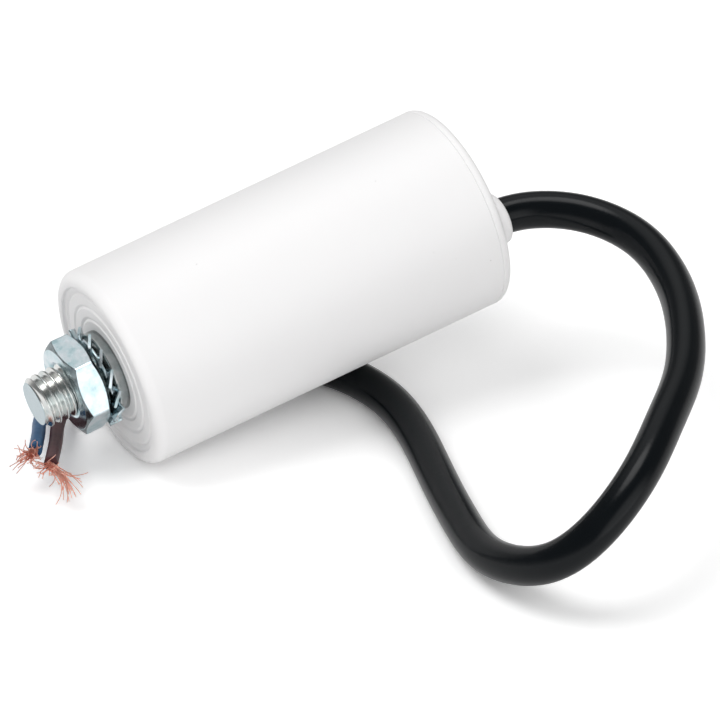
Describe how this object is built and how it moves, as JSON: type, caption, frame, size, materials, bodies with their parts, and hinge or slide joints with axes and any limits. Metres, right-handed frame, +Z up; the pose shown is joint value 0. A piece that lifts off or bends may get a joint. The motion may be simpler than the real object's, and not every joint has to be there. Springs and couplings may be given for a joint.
{
  "type": "motor run capacitor",
  "caption": "Round plastic motor run capacitor with a threaded stud, nut and toothed washer at one end and a two-core cable at the other.",
  "frame": {"origin": "on the floor, midway along and across the box around the can, cover, stud and nut as they lie", "axes": "+X along the can's length from the stud end to the cable end, seen from above; +Y away from the cable's loop; +Z up"},
  "size_m": [0.0972, 0.089, 0.0405],
  "materials": {
    "white_plastic": "satin moulded white plastic",
    "zinc_steel": "bright zinc plating with a cool blue cast",
    "metallised_film": "silvery metallised polypropylene film",
    "core_plastic": "natural plastic tube",
    "sprayed_zinc": "rough sprayed metal",
    "wrap_film": "clear amber film",
    "pressboard": "plain pressboard",
    "resin": "cast dark grey resin",
    "solder": "smooth solder",
    "blue_pvc": "satin blue cable insulation",
    "brown_pvc": "satin brown cable insulation",
    "black_pvc": "satin black cable sheath",
    "copper": "bright bare copper strands"
  },
  "bodies": {
    "root": {"case": "white_plastic", "end_cover": "white_plastic", "threaded_stud": "zinc_steel", "lock_washer": "zinc_steel", "hex_nut": "zinc_steel", "film_winding": "metallised_film", "winding_core": "core_plastic", "contact_spray_stud_end": "sprayed_zinc", "contact_spray_cable_end": "sprayed_zinc", "winding_wrap": "wrap_film", "insulating_pad": "pressboard", "potting_resin": "resin", "solder_joint_blue": "solder", "solder_joint_brown": "solder", "inner_lead_blue": "blue_pvc", "inner_lead_brown": "brown_pvc", "inner_wire_blue": "copper", "inner_wire_brown": "copper", "cable_sheath": "black_pvc", "core_blue": "blue_pvc", "core_brown": "brown_pvc", "strands_blue": "copper", "strands_brown": "copper"}
  },
  "joints": []
}
